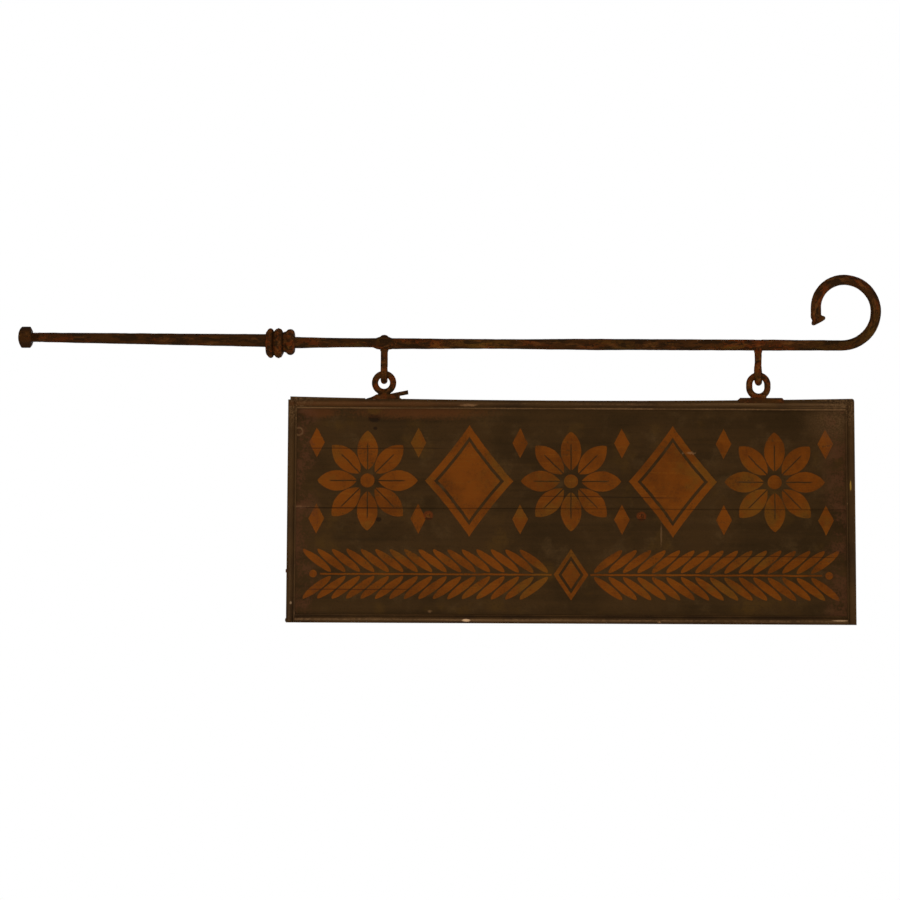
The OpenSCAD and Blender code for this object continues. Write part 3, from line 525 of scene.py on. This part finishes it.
# Each: the way its grain runs, distance in from its outer edge, wear and painted highlight of bead
# and crest, dirt and painted shade in the quirk
for node, along, edge_distance, bead_wear_and_highlight, crest_wear_and_highlight, quirk_dirt_and_shade in (
    ("top_rail", "x", lambda p: TOP_Z - p.z, 1.0, 0.4, 0.1),
    ("bottom_rail", "x", lambda p: p.z - FOOT_Z, 0.0, 0.7, 0.4),
    ("left_stile", "z", lambda p: p.x - LEFT_X, 0.25, 0.15, 0.3),
    ("right_stile", "z", lambda p: RIGHT_X - p.x, 0.2, 0.1, 0.1),
):
    paint = painted_frame(node + "_paint", along, edge_distance, bead_wear_and_highlight, crest_wear_and_highlight, quirk_dirt_and_shade)
    coat(nodes[node], paint)


# Forged pieces

def deselect():
    if bpy.context.mode != "OBJECT":
        bpy.ops.object.mode_set(mode="OBJECT")
    bpy.ops.object.select_all(action="DESELECT")


def pick(obj):
    deselect()
    obj.select_set(True)
    bpy.context.view_layer.objects.active = obj


def apply(obj, modifier):
    pick(obj)
    bpy.ops.object.modifier_apply(modifier=modifier.name)


def hammered(obj, name, size, depth, level):
    """Works soft dents into the skin.

    size is the distance between dents, depth goes from top to bottom, and level says how far up it
    the solid's own face lies.
    """
    clouds = bpy.data.textures.new(name, "CLOUDS")
    clouds.noise_scale = size
    clouds.noise_depth = 1
    dents = obj.modifiers.new(name, "DISPLACE")
    dents.texture = clouds
    dents.texture_coords = "LOCAL"
    dents.mid_level = level
    dents.strength = depth
    apply(obj, dents)


def forged_skin(node, name, material, grain, dents):
    """The solid's own form with an even, hammered skin and edges that the fire has softened."""
    pick(nodes[node])
    bpy.ops.object.duplicate()
    skin = bpy.context.active_object
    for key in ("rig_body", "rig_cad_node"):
        if key in skin:
            del skin[key]
    bpy.ops.object.parent_clear(type="CLEAR_KEEP_TRANSFORM")
    skin.name = skin.data.name = name
    bpy.ops.object.mode_set(mode="EDIT")
    bpy.ops.mesh.select_all(action="SELECT")
    bpy.ops.mesh.remove_doubles(threshold=0.000002)
    bpy.ops.object.mode_set(mode="OBJECT")
    even = skin.modifiers.new("even", "REMESH")
    even.mode = "VOXEL"
    even.voxel_size = grain
    apply(skin, even)
    soften = skin.modifiers.new("soften", "SMOOTH")
    soften.factor, soften.iterations = 0.5, 2
    apply(skin, soften)
    for size, depth, level in dents:
        hammered(skin, "%s_dents_%d" % (name, size * 10000), size, depth, level)
    low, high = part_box(node)
    for v in skin.data.vertices:
        v.co = [min(max(c, least), most) for c, least, most in zip(v.co, low, high)]
    pick(skin)
    bpy.ops.object.shade_smooth()
    coat(skin, material)
    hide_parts(node)
    return skin


# Layers of dents, as hammered() takes them: the hangers' bars stay nearly as thick as the solid
LONG_DENTS = ((0.030, 0.0008, 0.35), (0.009, 0.0003, 0.4))
SMALL_DENTS = ((0.011, 0.0006, 0.4), (0.004, 0.0002, 0.4))
RUNNING_DENTS = ((0.011, 0.0004, 0.65), (0.004, 0.00015, 0.65))
FLAT_DENTS = ((0.012, 0.0002, 0.65),)

arm = forged_skin("arm_bar", "forged_arm", arm_iron, 0.0013, LONG_DENTS)
skins = [(arm, BRACKET)]
for node, body, slot, material, grain, dents in (
    ("tail_nut", BRACKET, "rusted_iron", arm_iron, 0.0007, SMALL_DENTS),
    ("wall_collar", BRACKET, "forged_iron", brown_iron, 0.0006, SMALL_DENTS),
    ("middle_collar", BRACKET, "forged_iron", brown_iron, 0.0006, SMALL_DENTS),
    ("bulb_collar", BRACKET, "rusted_iron", red_iron, 0.0006, SMALL_DENTS),
    ("left_hook", BRACKET, "rusted_iron", brown_iron, 0.0007, RUNNING_DENTS),
    ("right_hook", BRACKET, "rusted_iron", red_iron, 0.0007, RUNNING_DENTS),
    ("left_ring", BOARD, "rusted_iron", foot_iron, 0.0007, FLAT_DENTS),
    ("right_ring", BOARD, "rusted_iron", red_iron, 0.0007, RUNNING_DENTS),
    ("ring_key", BOARD, "forged_iron", arm_iron, 0.0006, FLAT_DENTS),
    ("ring_plate", BOARD, "forged_iron", arm_iron, 0.0008, FLAT_DENTS),
):
    skins.append((forged_skin(node, node + "_skin", material, grain, dents), body))


# The tail's thread: radius of core and crest, pitch, depth, turns, and how far past the nut's seat
CORE_R, CREST_R, PITCH, THREAD_DEPTH = 0.0082, 0.0094, 0.00254, 0.0013
TURNS, THREAD_PAST = 7, 0.004


def cut_thread_core(obj):
    """Turns the tail's end down to the bottom of its thread."""
    for v in obj.data.vertices:
        if v.co.x < -GRIP + THREAD_FREE:
            away = Vector((0, v.co.y, v.co.z - NUT_Z))
            if away.length > CORE_R:
                v.co -= away * (1 - CORE_R / away.length)


def screw_thread(name):
    """Worn V thread on the tail: a small diamond turned and advanced along the axis."""
    deselect()
    bpy.ops.mesh.primitive_circle_add(vertices=4, radius=THREAD_DEPTH, location=(0, 0, 0),
                                      rotation=(math.pi / 2, 0, 0))
    thread = bpy.context.active_object
    thread.name = thread.data.name = name
    bpy.ops.object.transform_apply(location=True, rotation=True, scale=True)
    bpy.ops.object.mode_set(mode="EDIT")
    bpy.ops.mesh.select_all(action="SELECT")
    bpy.ops.transform.translate(value=(0, 0, CREST_R - THREAD_DEPTH))
    bpy.ops.object.mode_set(mode="OBJECT")
    screw = thread.modifiers.new("screw", "SCREW")
    screw.axis = "X"
    screw.screw_offset = PITCH
    screw.iterations = TURNS
    screw.steps = screw.render_steps = 40
    screw.use_merge_vertices = False
    apply(thread, screw)
    bpy.ops.object.mode_set(mode="EDIT")
    bpy.ops.mesh.select_all(action="DESELECT")
    bpy.ops.mesh.select_non_manifold(
        extend=False, use_wire=False, use_boundary=True, use_multi_face=False,
        use_non_contiguous=False, use_verts=False)
    bpy.ops.mesh.edge_face_add()
    bpy.ops.mesh.select_all(action="SELECT")
    bpy.ops.mesh.normals_make_consistent(inside=False)
    bpy.ops.object.mode_set(mode="OBJECT")
    thread.location = (-GRIP - THREAD_PAST, 0, NUT_Z)
    bpy.ops.object.transform_apply(location=True, rotation=False, scale=False)
    hammered(thread, name + "_wear", 0.005, 0.0004, 0.8)
    bpy.ops.object.shade_smooth_by_angle(angle=math.radians(40))
    coat(thread, arm_iron)
    return thread


cut_thread_core(arm)
skins.append((screw_thread("tail_thread"), BRACKET))
for piece, body in skins:
    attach(piece, body)


# Floor, light and camera

SIGN_MIDDLE = (0.35, 0.0, -0.2)
WORLD_LIGHT = 0.27
# Each: name, place, width and height, watts
LAMPS = (
    ("front_light", (0.1, -3.4, -0.3), (2.0, 1.2), 77),
    ("top_light", (0.35, -0.2, 2.6), (1.6, 0.8), 13),
    ("back_light", (0.6, 3.4, 0.4), (2.0, 1.2), 75),
    ("left_light", (-3.2, -0.5, 0.5), (1.0, 1.2), 15),
    ("right_light", (3.9, -0.5, 0.5), (1.0, 1.2), 34),
)
# The camera as fitted to the photograph: target, distance, angles, and picture width at the target
CAMERA_TARGET, CAMERA_DISTANCE = Vector((0.3503, 0.0, -0.2024)), 4.0
CAMERA_UP, CAMERA_SIDE, CAMERA_ROLL = math.radians(-4.5), math.radians(0.2191), math.radians(0.2638)
PICTURE_WIDTH, SENSOR_WIDTH = 1.704, 36.0


def pale_floor():
    """A round floor well under the sign: it takes the shadow and turns to plain white outwards."""
    deselect()
    bpy.ops.mesh.primitive_circle_add(vertices=96, radius=14.0, fill_type="NGON",
                                      location=(0.35, 0.0, -1.25))
    floor = bpy.context.active_object
    floor.name = "floor"
    p = Paint("floor_paint")
    away = ((p.x / 1.5) ** 2.0 + p.y ** 2.0) ** 0.5
    by_camera = p.add("ShaderNodeLightPath", {}, {}, "Is Camera Ray")
    share = (0.5 + away.rise(0.70, 1.35) * 0.5) * by_camera
    chalk = {"Base Color": FLOOR_PALE, "Roughness": 0.9}
    matt = p.add("ShaderNodeBsdfPrincipled", {}, chalk, "BSDF")
    white = p.add("ShaderNodeEmission", {}, {"Color": WHITE, "Strength": 1.0}, "Emission")
    p.show(p.add("ShaderNodeMixShader", {}, {0: share, 1: matt, 2: white}, "Shader"))
    coat(floor, p.material)


def plain_world():
    """Even soft light, seen as plain white by the camera."""
    world = bpy.context.scene.world or bpy.data.worlds.new("world")
    bpy.context.scene.world = world
    sky = Tree(world)
    by_camera = sky.add("ShaderNodeLightPath", {}, {}, "Is Camera Ray")
    light, white = (sky.add("ShaderNodeBackground", {}, {"Color": WHITE, "Strength": strength})
                    for strength in (WORLD_LIGHT, 1.0))
    surface = sky.add("ShaderNodeMixShader", {}, {0: by_camera, 1: light, 2: white})
    sky.add("ShaderNodeOutputWorld", {}, {"Surface": surface})


def aim(obj, target, roll=0.0):
    back = (obj.location - Vector(target)).normalized()
    turn = back.to_track_quat("Z", "Y").to_matrix() @ Matrix.Rotation(roll, 3, "Z")
    obj.rotation_euler = turn.to_euler()


def soft_box(name, place, size, watts):
    data = bpy.data.lights.new(name, "AREA")
    data.shape = "RECTANGLE"
    data.size, data.size_y = size
    data.energy = watts
    lamp = bpy.data.objects.new(name, data)
    bpy.context.scene.collection.objects.link(lamp)
    lamp.location = place
    aim(lamp, SIGN_MIDDLE)


def place_camera():
    data = bpy.data.cameras.new("camera")
    data.sensor_width = SENSOR_WIDTH
    data.lens = SENSOR_WIDTH * CAMERA_DISTANCE / PICTURE_WIDTH
    camera = bpy.data.objects.new("camera", data)
    bpy.context.scene.collection.objects.link(camera)
    back = Vector((math.sin(CAMERA_SIDE) * math.cos(CAMERA_UP),
                   -math.cos(CAMERA_SIDE) * math.cos(CAMERA_UP), math.sin(CAMERA_UP)))
    camera.location = CAMERA_TARGET + CAMERA_DISTANCE * back
    aim(camera, CAMERA_TARGET, roll=CAMERA_ROLL)
    bpy.context.scene.camera = camera


pale_floor()
plain_world()
place_camera()
for lamp in LAMPS:
    soft_box(*lamp)
bpy.context.scene.view_settings.view_transform = "Standard"
